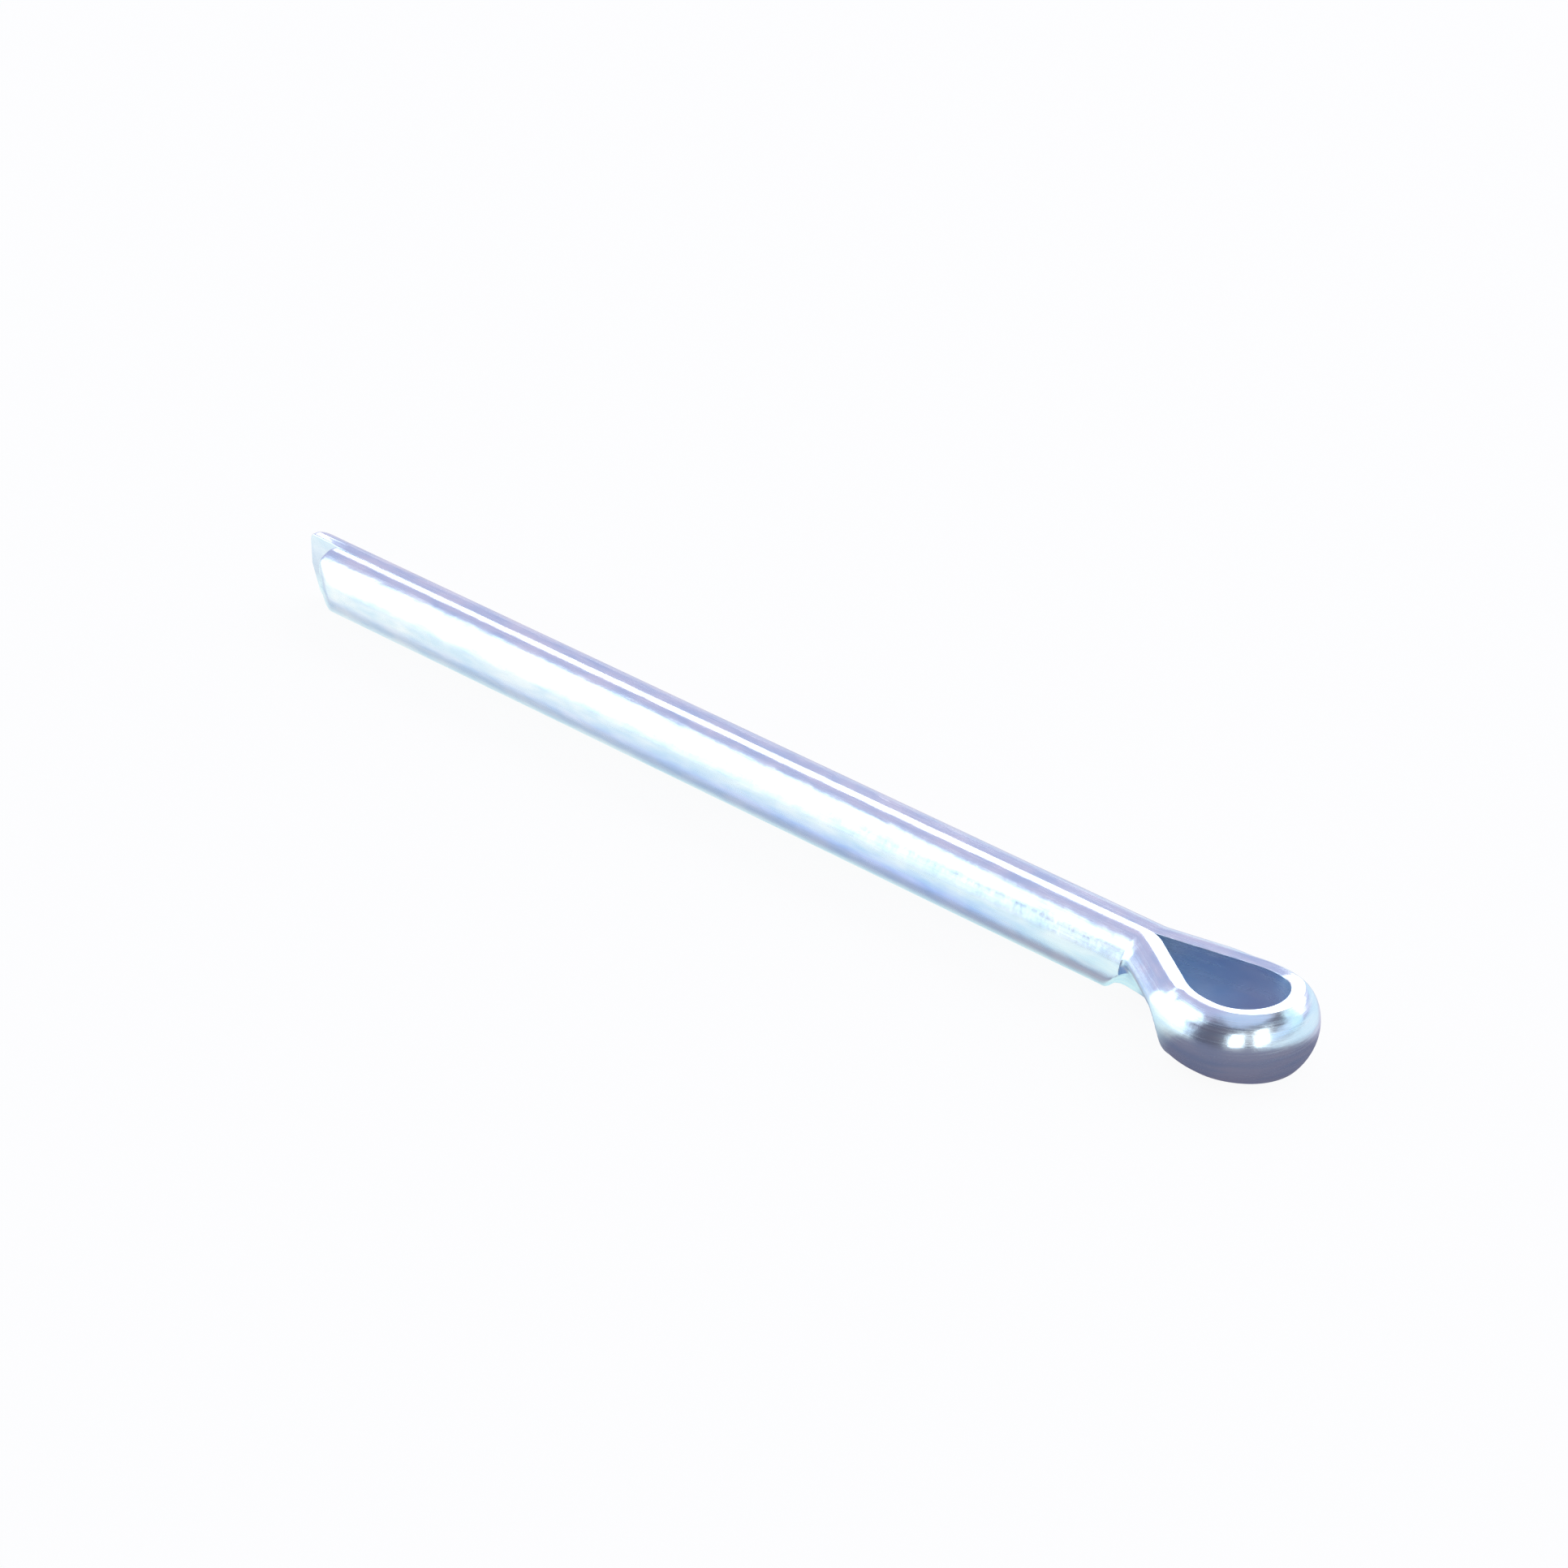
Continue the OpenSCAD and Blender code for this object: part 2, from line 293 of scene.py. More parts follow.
def eye_stations(w, radius, half_height, half_slit):
    """The wire round the eye, with the fillets of the two shoulders at its ends."""
    nose_radius = (w.hole_full + w.hole_flat) / 2
    nose_x = w.hole_length - nose_radius
    arm, bend = climb(
        nose_x - w.bowl_flat, w.hole_full - half_slit, w.full_neck_radius + w.bowl_radius
    )
    far_arm, far_bend = climb(
        nose_x, w.hole_flat - half_slit, w.flat_neck_radius + w.flat_bowl_radius
    )
    stretches = [
        (w.full_neck_radius * bend, -bend),
        (arm, 0.0),
        (w.bowl_radius * bend, bend),
        (w.bowl_flat, 0.0),
        (nose_radius * pi, pi),
        (w.flat_bowl_radius * far_bend, far_bend),
        (far_arm, 0.0),
        (w.flat_neck_radius * far_bend, -far_bend),
    ]
    ends, starts = [0.0], [[0.0, -half_slit, 0.0]]
    for length, turn in stretches:
        ends.append(ends[-1] + length)
        starts.append(advance(starts[-1], length, turn))
    total, fillet = ends[-1], w.shoulder_fillet
    nose_run = ends[5] - ends[4]
    thickness = [
        (0, radius),
        (ends[2] - NECK_LEAD, radius),
        (ends[2] + NECK_FADE, w.bowl_thickness),
        (ends[4], w.bowl_thickness),
        (ends[4] + nose_run / 2, w.nose_thickness),
        (ends[5], w.flat_thickness),
        (ends[6], w.flat_thickness + FLAT_SWELL),
        (ends[6] + FLAT_FADE, radius),
        (total, radius),
    ]
    press = [
        (0, w.full_neck_press),
        (ends[2] - NECK_LEAD, w.full_neck_press),
        (ends[2] + PRESS_FADE, w.bowl_thickness + UNPRESSED),
        (ends[6], w.flat_thickness + UNPRESSED),
        (ends[7], w.flat_neck_press),
        (total, w.flat_neck_press),
    ]
    widens, narrows, narrow = [ends[4] + share * nose_run for share in NOSE_LAND]
    lands = [
        (0, w.land),
        (ends[1] * LAND_WIDEST, w.pressed_land),
        (ends[2] + NECK_LEAD, w.pressed_land),
        (ends[2] + NECK_FADE, w.land),
        (ends[4], w.land),
        (widens, w.nose_land),
        (narrows, w.nose_land),
        (narrow, w.land),
        (total, w.land),
    ]
    slope = -tan(w.land_slope)
    slopes = [(0, 0.0), (narrows, 0.0), (narrow, slope), (total, slope)]
    lifts = [
        (0, LIFT_AT_SHOULDER * w.lift),
        (fillet, w.lift),
        (LIFT_FULL, w.lift),
        (LIFT_END, 0.0),
        (total, 0.0),
    ]
    tilt = tan(w.press_tilt)
    tilts = [(0, tilt), (ends[2] - NECK_LEAD, tilt), (ends[2] + TILT_FADE, 0.0), (total, 0.0)]
    places = [fillet - along for along, _ in reversed(quarter(fillet, 0))][:-1]
    bounds = [fillet] + ends[1:-1] + [total - fillet]
    for a, b in zip(bounds, bounds[1:]):
        steps = max(1, round((b - a) / BEND_STEP))
        places += [a + (b - a) * k / steps for k in range(steps)]
    places += [total - fillet + along for along, _ in quarter(fillet, 0)]
    stations = []
    for s in places:
        i = next(k for k in range(len(stretches)) if s <= ends[k + 1] + MERGE)
        share = (s - ends[i]) / (ends[i + 1] - ends[i])
        x, y, heading = advance(starts[i], stretches[i][0] * share, stretches[i][1] * share)
        near = min(s, total - s)
        neck = w.full_neck_press if s < total / 2 else w.flat_neck_press
        tilt = keyed(tilts, s)
        step = radius * sqrt(1 + tilt**2) - neck
        filled = step / 2 * (1 - sqrt(1 - max(0, 1 - near / fillet) ** 2))
        pinch = tan(w.pinch) * (1 - ease(near / PINCH_RUN))
        stations.append(
            {
                "at": (x, y),
                "heading": heading,
                "thickness": keyed(thickness, s),
                "press": keyed(press, s) + filled,
                "land": keyed(lands, s),
                "slope": keyed(slopes, s),
                "height": half_height,
                "pinch": pinch,
                "bevel": 0.0,
                "lift": keyed(lifts, s),
                "tilt": tilt,
            }
        )
    return stations


def leg_stations(w, length, neck_press, tilt, full_slope, radius, half_height, place, heading):
    """A leg from its shoulder to its tip. Its shoulder is rounded, and its tip is bevelled."""
    common = {"heading": heading, "thickness": radius, "land": w.land, "height": half_height}
    common.update(press=radius + UNPRESSED, tilt=0.0, lift=0.0)
    full_pinch = tan(w.pinch)
    stations = []

    def add_station(x, **sizes):
        tip = ease(1 - (x + length) / BEVEL_RUN)
        bevel = tip / tan(w.bevel_angle)
        pinch = full_pinch * ease(1 + (x + w.shoulder_round) / PINCH_RUN) - tip * tan(w.tip_slant)
        found = {"at": (x, place(x)), "pinch": pinch, "bevel": bevel}
        stations.append({**common, **found, "slope": full_slope * (1 - tip), **sizes})

    tangent = radius * sqrt(1 + tilt**2)
    top = tangent + w.press_rounding
    for along, drop in reversed(quarter(w.shoulder_round, top - (tangent + neck_press) / 2)):
        add_station(along - w.shoulder_round, press=top - drop, tilt=tilt)
    start, stop = -w.shoulder_round, w.tip_round - length
    count = round((start - stop) / LEG_STEP)
    for k in range(1, count):
        add_station(start + (stop - start) * k / count)
    for along, drop in quarter(w.tip_round, w.tip_round):
        rho = radius - drop
        height = min(rho, half_height)
        add_station(stop - along, thickness=rho, press=rho + UNPRESSED, height=height)
    for k in range(CAP_STEPS - 1, -1, -1):
        rho = max((radius - w.tip_round) * k / CAP_STEPS, MERGE / 3)
        small = rho / radius
        add_station(
            -length,
            thickness=rho,
            press=rho + UNPRESSED,
            height=half_height * small,
            land=w.land * small,
        )
    return stations


def wire_stations(w):
    """Stations along the wire, from the short leg's tip round the eye to the long leg's tip."""
    radius = w.shank_diameter / 2
    half_height = sqrt(radius**2 - w.land**2)
    half_slit = w.slit / 2
    long_length = w.leg_length + w.long_leg_extra
    short = leg_stations(
        w,
        w.leg_length,
        w.full_neck_press,
        tan(w.press_tilt),
        0.0,
        radius,
        half_height,
        lambda x: -half_slit,
        0.0,
    )
    long = leg_stations(
        w,
        long_length,
        w.flat_neck_press,
        0.0,
        -tan(w.land_slope),
        radius,
        half_height,
        lambda x: half_slit + w.tip_gap * max(0.0, -x / long_length) ** SPRING_POWER,
        pi,
    )
    eye = eye_stations(w, radius, half_height, half_slit)
    return short[::-1] + eye + long


def path_mesh(w):
    """The wire's path as a line mesh that carries the section's sizes at each of its points."""
    stations = wire_stations(w)
    mesh = bpy.data.meshes.new("wire_path")
    mesh.from_pydata(
        [(*s["at"], 0) for s in stations], [(i, i + 1) for i in range(len(stations) - 1)], []
    )
    columns = {"outward": [], "shift": [], "arc": [], "edge": [], "run": []}
    run, last = 0.0, Vector(stations[0]["at"])
    for s in stations:
        here = Vector(s["at"])
        run, last = run + (here - last).length, here
        sharp = -s["slope"] / tan(w.land_slope)
        corner = w.corner_radius + (w.far_corner_radius - w.corner_radius) * sharp
        corner = min(corner, s["land"] / 1.5)
        rise = s["thickness"] - s["land"]
        arc_radius = (rise**2 + s["height"] ** 2) / (2 * rise)
        columns["outward"] += [sin(s["heading"]), -cos(s["heading"]), 0]
        columns["shift"] += [s["pinch"], s["bevel"], -s["lift"]]
        columns["arc"] += [
            arc_radius,
            s["thickness"] - arc_radius,
            asin(min(1, s["height"] / arc_radius)),
        ]
        columns["edge"] += [s["land"], corner, s["slope"]]
        columns["run"] += [run, s["press"], s["tilt"]]
    for name, values in columns.items():
        mesh.attributes.new(name, "FLOAT_VECTOR", "POINT").data.foreach_set("vector", values)
    return mesh, len(stations)


def wire_tree():
    """Geometry Nodes: sweeps a half-round section along a path that carries the section's sizes."""
    tree = bpy.data.node_groups.new("Half-round wire", "GeometryNodeTree")
    for name, kind in (
        ("Path", "NodeSocketGeometry"),
        ("Stations", "NodeSocketInt"),
        ("Back steps", "NodeSocketInt"),
        ("Land steps", "NodeSocketInt"),
        ("Corner steps", "NodeSocketInt"),
        ("Flat steps", "NodeSocketInt"),
        ("Press rounding", "NodeSocketFloat"),
        ("Bevel start", "NodeSocketFloat"),
        ("Girth step", "NodeSocketFloat"),
        ("Merge distance", "NodeSocketFloat"),
        ("Material", "NodeSocketMaterial"),
    ):
        tree.interface.new_socket(name=name, in_out="INPUT", socket_type=kind)
    tree.interface.new_socket(name="Wire", in_out="OUTPUT", socket_type="NodeSocketGeometry")
    given = tree.nodes.new("NodeGroupInput").outputs
    math, vector, ranged = "ShaderNodeMath", "ShaderNodeVectorMath", "ShaderNodeMapRange"

    # One row of the grid for each station, and one column for each point of the section
    land_end = add(tree, math, {0: given["Back steps"], 1: given["Land steps"]})
    corner_end = add(tree, math, {0: land_end, 1: given["Corner steps"]})
    half = add(tree, math, {0: corner_end, 1: given["Flat steps"]})
    around = add(tree, math, {0: half, 1: 2.0, 2: 1.0}, operation="MULTIPLY_ADD")
    grid = add(
        tree, "GeometryNodeMeshGrid", {"Vertices X": given["Stations"], "Vertices Y": around}
    )
    index = add(tree, "GeometryNodeInputIndex")
    middle = add(tree, math, {0: index, 1: 0.5})
    row = add(tree, math, {0: middle, 1: around}, operation="DIVIDE")
    row = add(tree, math, {0: row}, operation="FLOOR")
    passed = add(tree, math, {0: row, 1: around}, operation="MULTIPLY")
    column = add(tree, math, {0: index, 1: passed}, operation="SUBTRACT")

    # The sizes that the path carries there
    carried = {}
    for name in ("outward", "shift", "arc", "edge", "run", "centre"):
        if name == "centre":
            source = add(tree, "GeometryNodeInputPosition")
        else:
            source = add(
                tree, "GeometryNodeInputNamedAttribute", {"Name": name}, data_type="FLOAT_VECTOR"
            )
        carried[name] = add(
            tree,
            "GeometryNodeSampleIndex",
            {"Geometry": given["Path"], "Value": source, "Index": row},
            data_type="FLOAT_VECTOR",
        )
    arc_radius, arc_centre, arc_angle = add(tree, SPLIT, {0: carried["arc"]}).outputs
    land_width, corner_radius, slope = add(tree, SPLIT, {0: carried["edge"]}).outputs
    run, press, tilt = add(tree, SPLIT, {0: carried["run"]}).outputs
    pinch, bevel, lift = add(tree, SPLIT, {0: carried["shift"]}).outputs

    # Shares of the back, the land, the corner and the flat, each held at its end past its own steps
    side = add(tree, math, {0: column, 1: half}, operation="SUBTRACT")
    reach = add(tree, math, {0: side}, operation="ABSOLUTE")
    back = add(tree, ranged, {0: reach, 1: 0.0, 2: given["Back steps"], 3: 0.0, 4: arc_angle})
    land = add(
        tree,
        ranged,
        {0: reach, 1: given["Back steps"], 2: land_end, 3: land_width, 4: corner_radius},
        interpolation_type="SMOOTHSTEP",
    )
    corner = add(tree, ranged, {0: reach, 1: land_end, 2: corner_end, 3: 0.0, 4: pi / 2})
    flat = add(tree, ranged, {0: reach, 1: corner_end, 2: half, 3: 1.0, 4: 0.0})

    # Height above the wire's middle
    rise = add(tree, math, {0: back}, operation="SINE")
    rise = add(tree, math, {0: rise, 1: arc_radius}, operation="MULTIPLY")
    drop = add(tree, math, {0: corner}, operation="COSINE")
    drop = add(tree, math, {0: 1.0, 1: drop}, operation="SUBTRACT")
    drop = add(tree, math, {0: drop, 1: corner_radius}, operation="MULTIPLY")
    height = add(tree, math, {0: rise, 1: drop}, operation="SUBTRACT")
    inward = add(tree, math, {0: land_width, 1: land}, operation="SUBTRACT")
    height = add(tree, math, {0: inward, 1: slope, 2: height}, operation="MULTIPLY_ADD")
    flat = add(tree, math, {0: flat}, operation="SQRT")
    height = add(tree, math, {0: height, 1: flat}, operation="MULTIPLY")
    sign = add(tree, math, {0: side}, operation="SIGN")
    height = add(tree, math, {0: height, 1: sign}, operation="MULTIPLY")
    below = add(tree, math, {0: height, 1: 0.0}, operation="MINIMUM")
    height = add(tree, math, {0: below, 1: lift, 2: height}, operation="MULTIPLY_ADD")

    # Distance out from the inner flat. The neck's back is pressed to a slanting plane.
    level = add(tree, math, {0: back}, operation="COSINE")
    out = add(tree, math, {0: arc_radius, 1: level, 2: arc_centre}, operation="MULTIPLY_ADD")
    limit = add(tree, math, {0: height, 1: tilt, 2: press}, operation="MULTIPLY_ADD")
    limit = add(tree, math, {0: limit, 1: land_width}, operation="MAXIMUM")
    out = add(
        tree, math, {0: out, 1: limit, 2: given["Press rounding"]}, operation="SMOOTH_MIN"
    )
    out = add(tree, math, {0: out, 1: land_width}, operation="SUBTRACT")
    out = add(tree, math, {0: out, 1: land})
    turned = add(tree, math, {0: corner}, operation="SINE")
    turned = add(tree, math, {0: turned, 1: corner_radius}, operation="MULTIPLY")
    out = add(tree, math, {0: out, 1: turned}, operation="SUBTRACT")

    # The shoulder's underside is pinched back, and the tip's back is bevelled
    past = add(tree, math, {0: out, 1: given["Bevel start"]}, operation="SUBTRACT")
    past = add(tree, math, {0: past, 1: 0.0, 2: given["Press rounding"]}, operation="SMOOTH_MAX")
    along = add(tree, math, {0: below, 1: pinch}, operation="MULTIPLY")
    along = add(tree, math, {0: past, 1: bevel, 2: along}, operation="MULTIPLY_ADD")
    shift = add(tree, "ShaderNodeCombineXYZ", {"X": along, "Z": height})
    place = add(tree, vector, {0: carried["outward"], "Scale": out}, operation="SCALE")
    place = add(tree, vector, {0: place, 1: shift})
    place = add(tree, vector, {0: place, 1: carried["centre"]})

    # Distance along and round the wire, kept at the corners so that it doesn't blur at the seam
    girth = add(tree, math, {0: column, 1: given["Girth step"]}, operation="MULTIPLY")
    pattern = add(tree, "ShaderNodeCombineXYZ", {"X": run, "Y": girth})
    kept = add(tree, "GeometryNodeCaptureAttribute", {"Geometry": grid})
    kept.capture_items.new("VECTOR", "pattern")
    kept.capture_items.new("VECTOR", "place")
    tree.links.new(pattern.outputs[0], kept.inputs["pattern"])
    tree.links.new(place.outputs[0], kept.inputs["place"])
    moved = add(tree, "GeometryNodeSetPosition", {0: kept, "Position": kept.outputs["place"]})
    stored = add(
        tree,
        "GeometryNodeStoreNamedAttribute",
        {"Geometry": moved, "Name": "wire_run", "Value": kept.outputs["pattern"]},
        data_type="FLOAT_VECTOR",
        domain="CORNER",
    )
    closed = add(
        tree, "GeometryNodeMergeByDistance", {0: stored, "Distance": given["Merge distance"]}
    )
    smooth = add(tree, "GeometryNodeSetShadeSmooth", {0: closed})
    real = add(tree, "GeometryNodeRealizeInstances", {0: smooth})
    finished = add(tree, "GeometryNodeSetMaterial", {0: real, "Material": given["Material"]})
    add(tree, "NodeGroupOutput", {0: finished})
    return tree


def sweep_wire(w, material):
    """The wire as one plain mesh object."""
    path, stations = path_mesh(w)
    piece = bpy.data.objects.new("folded_wire", path)
    bpy.context.scene.collection.objects.link(piece)
    tree = wire_tree()
    modifier = piece.modifiers.new("Half-round wire", "NODES")
    modifier.node_group = tree
    given = {
        "Stations": stations,
        "Back steps": BACK_STEPS,
        "Land steps": LAND_STEPS,
        "Corner steps": CORNER_STEPS,
        "Flat steps": FLAT_STEPS,
        "Press rounding": w.press_rounding,
        "Bevel start": w.bevel_start,
        "Girth step": pi / 2 * w.shank_diameter / 2 / BACK_STEPS,
        "Merge distance": MERGE,
        "Material": material,
    }
    for item in tree.interface.items_tree:
        if item.in_out == "INPUT" and item.name in given:
            modifier[item.identifier] = given[item.name]
    depsgraph = bpy.context.evaluated_depsgraph_get()
    mesh = bpy.data.meshes.new_from_object(
        piece.evaluated_get(depsgraph), preserve_all_data_layers=True, depsgraph=depsgraph
    )
    mesh.set_sharp_from_angle(angle=CREASE)
    piece.modifiers.clear()
    piece.data = mesh
    return piece


# ---------------------------------------------------------------- materials


def zinc_material(finish):
    """Bright zinc-plated steel wire: mirror-like with a blue cast, drawn streaks and small dents."""
    material = bpy.data.materials.new("bright_zinc_plated_steel")
    material.use_nodes = True
    tree = material.node_tree
    tree.nodes.clear()
    run = add(tree, "ShaderNodeAttribute", attribute_name="wire_run").outputs["Vector"]
    place = add(tree, "ShaderNodeTexCoord").outputs["Object"]

    noises = {}
    for name, along, scale, detail in (
        # Drawn streaks, 0.08 mm across and about 3 mm long
        ("streaks", run, (0.35 / MM, 12.0 / MM, 1), 3.0),
        # Drawn dimples, about 0.4 mm across and 1.2 mm long
        ("dimples", run, (0.8 / MM, 2.5 / MM, 1), 1.0),
        # Dents of the plated skin, about 0.6 mm across
        ("dents", place, (1.6 / MM, 1.6 / MM, 1.6 / MM), 2.0),
        # Patches of thicker passivate, about 2 mm across
        ("patches", place, (0.5 / MM, 0.5 / MM, 0.5 / MM), 3.0),
    ):
        mapped = add(tree, "ShaderNodeMapping", {"Vector": along, "Scale": scale})
        noises[name] = add(
            tree, "ShaderNodeTexNoise", {"Vector": mapped, "Scale": 1.0, "Detail": detail}
        )

    # The passivate lies thicker in its patches and in the dimples
    stained = add(tree, "ShaderNodeMath", {0: noises["dimples"], 1: noises["patches"]})
    stained = add(
        tree, "ShaderNodeMapRange", {"Value": stained, "From Min": 0.75, "From Max": 1.25}
    )
    colour = add(
        tree,
        "ShaderNodeMix",
        {"Factor": stained, "A": [*finish.zinc, 1], "B": [*finish.passivate, 1]},
        data_type="RGBA",
    ).outputs["Result"]
    roughness = add(
        tree,
        "ShaderNodeMapRange",
        {
            "Value": noises["streaks"],
            "From Min": 0.3,
            "From Max": 0.7,
            "To Min": finish.smooth,
            "To Max": finish.rough,
        },
    )
    bump = None
    for name, depth in (("streaks", 0.002), ("dents", 0.012), ("dimples", 0.01)):
        relief = {"Height": noises[name], "Strength": 1.0, "Distance": depth * MM}
        if bump:
            relief["Normal"] = bump
        bump = add(tree, "ShaderNodeBump", relief)
    shader = add(
        tree,
        "ShaderNodeBsdfPrincipled",
        {"Base Color": colour, "Metallic": 1.0, "Roughness": roughness, "Normal": bump},
    )
    add(tree, "ShaderNodeOutputMaterial", {"Surface": shader.outputs[0]})
    return material


def card_material(stage):
    """White card: white to the camera but for a soft shadow. To the metal it glows with painted shade
    and painted light, laid out by place.
    """
    material = bpy.data.materials.new("white_card_painted_reflections")
    material.use_nodes = True
    tree = material.node_tree
    tree.nodes.clear()
    math = "ShaderNodeMath"
    paper = add(
        tree,
        "ShaderNodeBsdfPrincipled",
        {"Base Color": [*stage.floor, 1], "Roughness": 0.9, "Specular IOR Level": 0.2},
    )
    white = add(tree, "ShaderNodeEmission", {"Color": (1, 1, 1, 1), "Strength": 1.0})
    path = add(tree, "ShaderNodeLightPath").outputs
    camera = add(tree, math, {0: path["Is Camera Ray"], 1: 0.93}, operation="MULTIPLY")
    lifted = add(tree, "ShaderNodeMixShader", {0: camera, 1: paper, 2: white})

    # Where each painted shade and light lies: what it is measured along, and where it starts and is
    # full, in mm
    place = add(tree, "ShaderNodeTexCoord").outputs["Object"]
    x, y, _ = add(tree, SPLIT, {0: place}).outputs
    forward, beside = [
        add(
            tree, "ShaderNodeVectorMath", {0: place, 1: direction}, operation="DOT_PRODUCT"
        ).outputs["Value"]
        for direction in ((0.89, -0.45, 0), (0.5, 0.87, 0))
    ]
    shares = {}
    for name, along, start, full, fade in (
        ("reach", y, -0.4, -8, "LINEAR"),
        ("by eye", x, -11, -4, "SMOOTHSTEP"),
        ("left", x, -4, -42, "LINEAR"),
        ("clear", y, -1.7, -3, "SMOOTHSTEP"),
        ("before", forward, 1.2, 4.5, "SMOOTHSTEP"),
        ("inside", y, -2.3, -1.6, "SMOOTHSTEP"),
        ("past neck", x, -0.4, 0.4, "SMOOTHSTEP"),
        ("short of nose", x, 7, 6, "SMOOTHSTEP"),
        ("hole", x, 1, 4.2, "LINEAR"),
        ("behind", y, 1.5, 4, "SMOOTHSTEP"),
        ("right", beside, 6, 9, "SMOOTHSTEP"),
    ):
        shares[name] = add(
            tree,
            "ShaderNodeMapRange",
            {"Value": along, "From Min": start * MM, "From Max": full * MM},
            interpolation_type=fade,
        )

    # Before the legs the floor paints the wire's own shade, blue and then greyer by the eye, with
    # painted daylight past it
    ramps = []
    for dark, middle, pale in (("#9AA4C8", "#AEC0FF", "#C2DAFF"), ("#AAA8BA", "#D8E6F4", "#ECFCFF")):
        ramp = add(tree, "ShaderNodeValToRGB", {0: shares["reach"]})
        stops = ramp.color_ramp.elements
        stops[0].position, stops[0].color = 0.04, linear("#E2FCFF")
        stops[1].position, stops[1].color = 0.13, linear(dark)
        for position, code in ((0.18, dark), (0.27, middle), (0.38, pale), (1.0, "#F4FFFF")):
            stops.new(position).color = linear(code)
        ramps.append(ramp.outputs["Color"])
    clear = add(tree, math, {0: shares["clear"], 1: 0.5, 2: 0.5}, operation="MULTIPLY_ADD")
    left = add(tree, math, {0: shares["left"], 1: clear}, operation="MULTIPLY")
    inside = add(tree, math, {0: shares["inside"], 1: shares["past neck"]}, operation="MULTIPLY")
    inside = add(tree, math, {0: inside, 1: shares["short of nose"]}, operation="MULTIPLY")
    hole = add(
        tree,
        "ShaderNodeMix",
        {"Factor": shares["hole"], "A": [*stage.slate, 1], "B": [*stage.blue, 1]},
        data_type="RGBA",
    ).outputs["Result"]

    # Each painted shade and light covers those before it
    seen = ramps[0]
    for share, colour in (
        (shares["by eye"], ramps[1]),
        (left, linear("#FCFFFF")),
        (shares["before"], [*stage.shade, 1]),
        (inside, hole),
        (shares["behind"], [*stage.violet, 1]),
        (shares["right"], linear("#E4F4FF")),
    ):
        seen = add(
            tree, "ShaderNodeMix", {"Factor": share, "A": seen, "B": colour}, data_type="RGBA"
        ).outputs["Result"]
    # The painted shade and light glow for the metal's reflections, which see them in place of most of
    # the card
    painted_reflection = add(tree, "ShaderNodeEmission", {"Color": seen, "Strength": 1.0})
    gloss = add(tree, math, {0: path["Is Glossy Ray"], 1: 0.9}, operation="MULTIPLY")
    mixed = add(tree, "ShaderNodeMixShader", {0: gloss, 1: lifted, 2: painted_reflection})
    add(tree, "ShaderNodeOutputMaterial", {"Surface": mixed})
    return material


# ---------------------------------------------------------------- stage


def heading_vector(azimuth, elevation):
    """Unit vector at an azimuth from +X towards +Y and an elevation, in degrees."""
    a, e = radians(azimuth), radians(elevation)
    return Vector((cos(a) * cos(e), sin(a) * cos(e), sin(e)))


def softbox(name, azimuth, elevation, width, height, radiance, colour, distance):
    """A soft rectangular light that faces the pin. Its sides are angles seen from the pin."""
    wide, tall = [2 * distance * tan(radians(angle) / 2) for angle in (width, height)]
    lamp = bpy.data.lights.new(name, "AREA")
    lamp.shape = "RECTANGLE"
    lamp.size, lamp.size_y = wide, tall
    lamp.energy = radiance * pi * wide * tall
    lamp.color = linear(colour)[:3]
    thing = bpy.data.objects.new(name, lamp)
    bpy.context.scene.collection.objects.link(thing)
    towards = heading_vector(azimuth, elevation)
    thing.location = towards * distance
    thing.rotation_euler = towards.to_track_quat("Z", "Y").to_euler()


def set_world(stage):
    """A dark room with a violet-grey wall behind the pin, on the left, and a pale ceiling."""
    world = bpy.data.worlds.new("studio")
    bpy.context.scene.world = world
    world.use_nodes = True
    tree = world.node_tree
    tree.nodes.clear()
    towards = add(tree, "ShaderNodeTexCoord").outputs["Generated"]
    colour = [*stage.room, 1]
    for direction, start, full, shade in (
        ((-0.8, 0.6, 0), -0.1, 0.2, stage.wall),
        ((0.17, 0, 0.985), 0.84, 0.9, stage.ceiling),
    ):
        facing = add(
            tree, "ShaderNodeVectorMath", {0: towards, 1: direction}, operation="DOT_PRODUCT"
        ).outputs["Value"]
        share = add(
            tree, "ShaderNodeMapRange", {"Value": facing, "From Min": start, "From Max": full}
        )
        colour = add(
            tree,
            "ShaderNodeMix",
            {"Factor": share, "A": colour, "B": [*shade, 1]},
            data_type="RGBA",
        ).outputs["Result"]
    sky = add(tree, "ShaderNodeBackground", {"Color": colour, "Strength": 1.0})
    add(tree, "ShaderNodeOutputWorld", {"Surface": sky})


def set_camera(stage):
    """The camera, rolled a little about its own axis."""
    a, e, r = stage.azimuth, stage.elevation, stage.roll
    back = Vector((sin(a) * cos(e), -cos(a) * cos(e), sin(e)))
    right = Vector((cos(a), sin(a), 0))
    up = back.cross(right)
    across = right * cos(r) + up * sin(r)
    upward = up * cos(r) - right * sin(r)
    lens = bpy.data.cameras.new("camera")
    lens.sensor_fit = "HORIZONTAL"
    lens.sensor_width = SENSOR_MM
    lens.lens = stage.focal_share * SENSOR_MM
    lens.clip_start = 0.01
    camera = bpy.data.objects.new("camera", lens)
    bpy.context.scene.collection.objects.link(camera)
    turned = Matrix((across, upward, back)).transposed().to_4x4()
    target = Vector((stage.target_x, stage.target_y, 0))
    camera.matrix_world = Matrix.Translation(target + back * stage.distance) @ turned
    bpy.context.scene.camera = camera


# ---------------------------------------------------------------- add-on


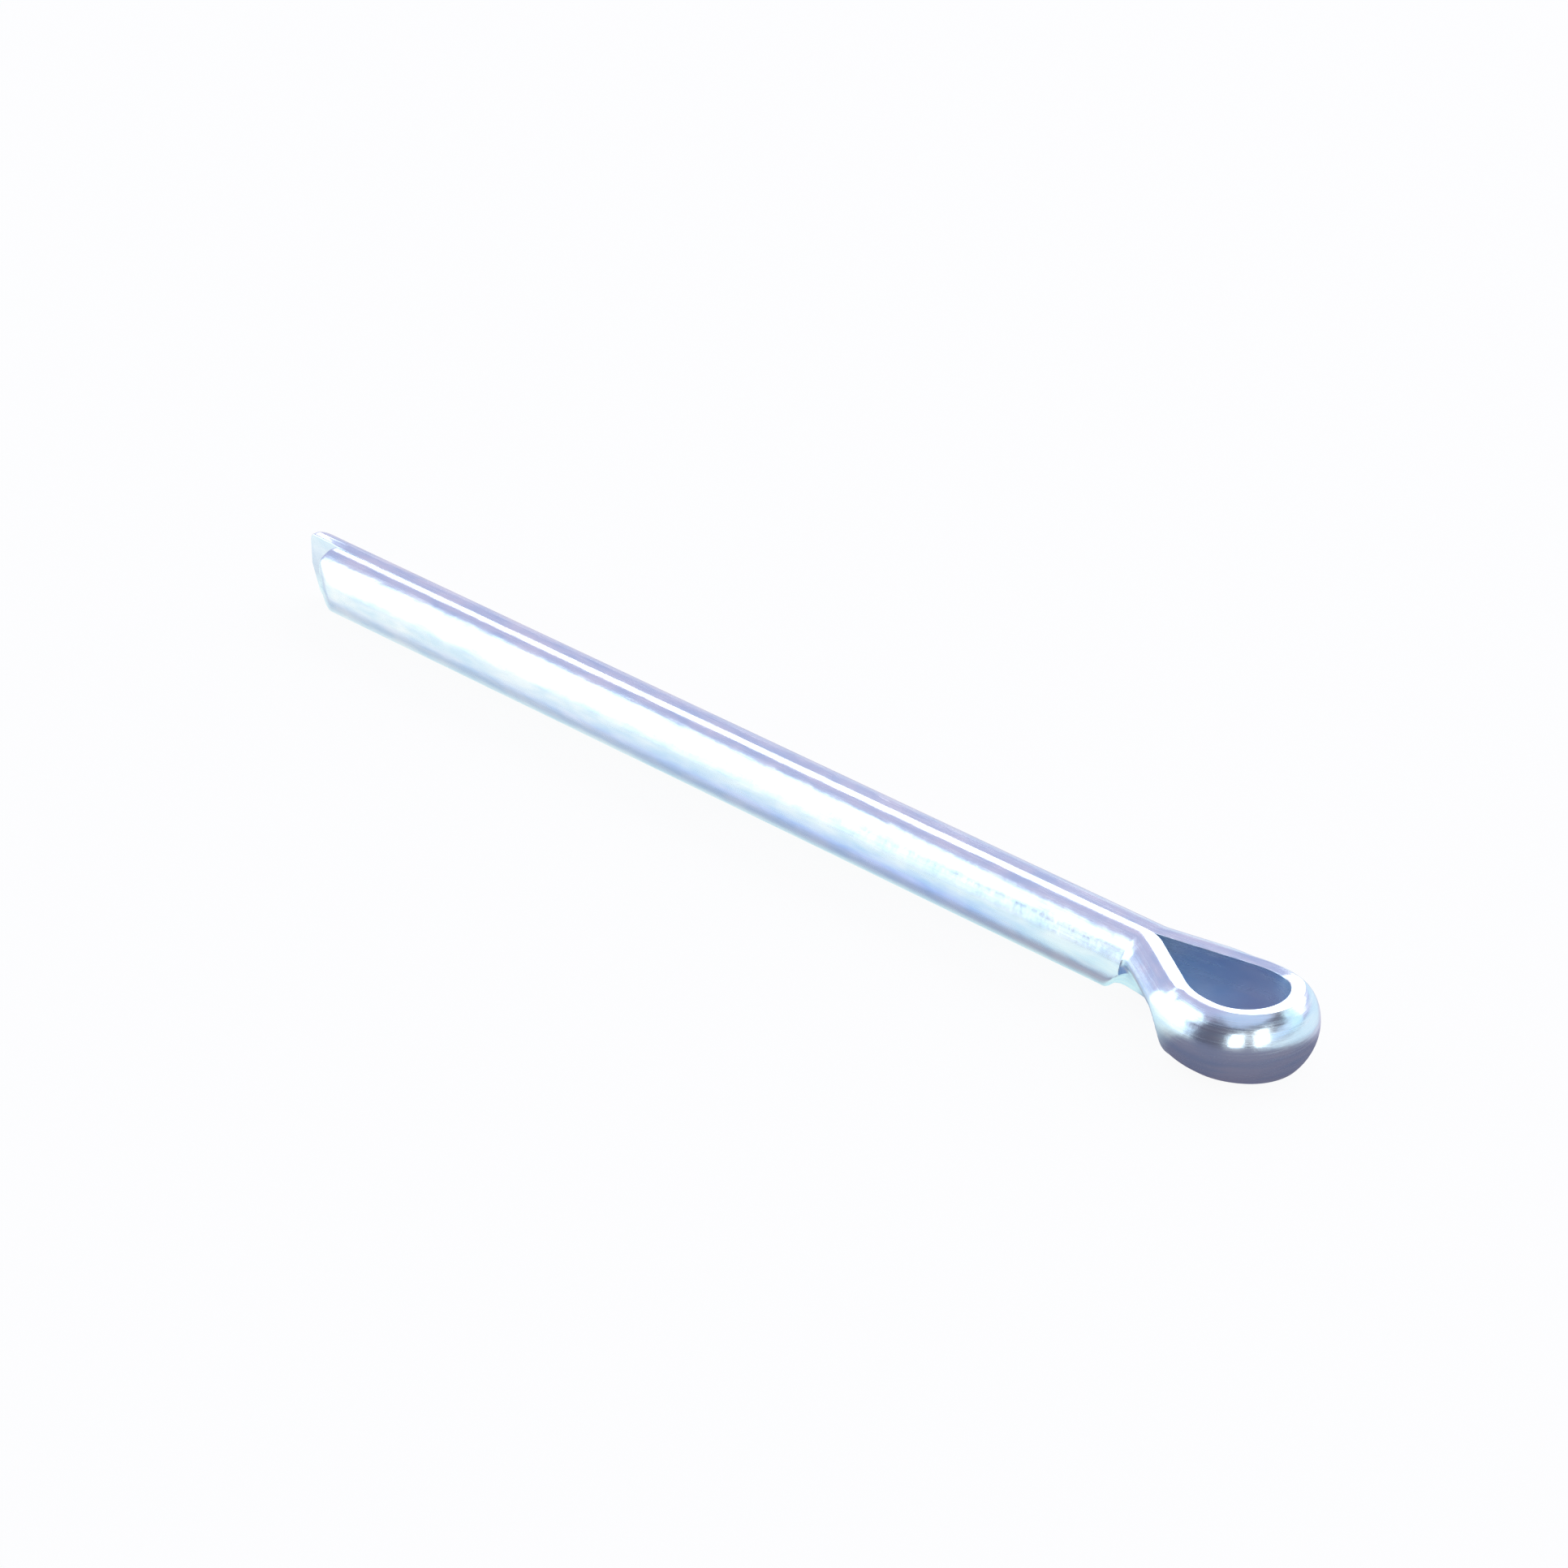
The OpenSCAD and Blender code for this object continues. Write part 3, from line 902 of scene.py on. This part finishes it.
class COTTER_OT_wire(bpy.types.Operator):
    """Sweep the half-round wire round the eye and along both legs"""

    bl_idname = "cotter.wire"
    bl_label = "Fold Wire"

    def execute(self, context):
        wire = sweep_wire(context.scene.cotter_wire, zinc_material(context.scene.cotter_finish))
        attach(wire, "root")
        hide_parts("cotter_pin")
        return {"FINISHED"}


class COTTER_OT_stage(bpy.types.Operator):
    """Lay the floor and set up the lights, the room and the camera"""

    bl_idname = "cotter.stage"
    bl_label = "Set Stage"

    def execute(self, context):
        stage = context.scene.cotter_stage
        level = CAD_BOX[0][2]
        corners = ((-1, -1), (1, -1), (1, 1), (-1, 1))
        mesh = bpy.data.meshes.new("floor")
        mesh.from_pydata(
            [(FLOOR_HALF * x, FLOOR_HALF * y, level) for x, y in corners], [], [(0, 1, 2, 3)]
        )
        mesh.materials.append(card_material(stage))
        floor = bpy.data.objects.new("floor", mesh)
        context.scene.collection.objects.link(floor)
        for lamp in LAMPS:
            softbox(*lamp)
        set_world(stage)
        set_camera(stage)
        context.scene.view_settings.view_transform = "Standard"
        return {"FINISHED"}


class COTTER_PT_panel(bpy.types.Panel):
    """The operators and their settings."""

    bl_label = "Cotter Pin"
    bl_space_type = "VIEW_3D"
    bl_region_type = "UI"
    bl_category = "Cotter Pin"

    def draw(self, context):
        scene = context.scene
        for operator, groups in (
            ("cotter.wire", (scene.cotter_wire, scene.cotter_finish)),
            ("cotter.stage", (scene.cotter_stage,)),
        ):
            self.layout.operator(operator)
            for group in groups:
                for name in group.__annotations__:
                    self.layout.prop(group, name)


CLASSES = (CotterWire, CotterFinish, CotterStage, COTTER_OT_wire, COTTER_OT_stage, COTTER_PT_panel)


def register():
    for cls in CLASSES:
        bpy.utils.register_class(cls)
    bpy.types.Scene.cotter_wire = PointerProperty(type=CotterWire)
    bpy.types.Scene.cotter_finish = PointerProperty(type=CotterFinish)
    bpy.types.Scene.cotter_stage = PointerProperty(type=CotterStage)


def unregister():
    del bpy.types.Scene.cotter_wire, bpy.types.Scene.cotter_finish, bpy.types.Scene.cotter_stage
    for cls in reversed(CLASSES):
        bpy.utils.unregister_class(cls)


def main():
    register()
    bpy.ops.cotter.wire()
    bpy.ops.cotter.stage()


if __name__ == "__main__":
    main()
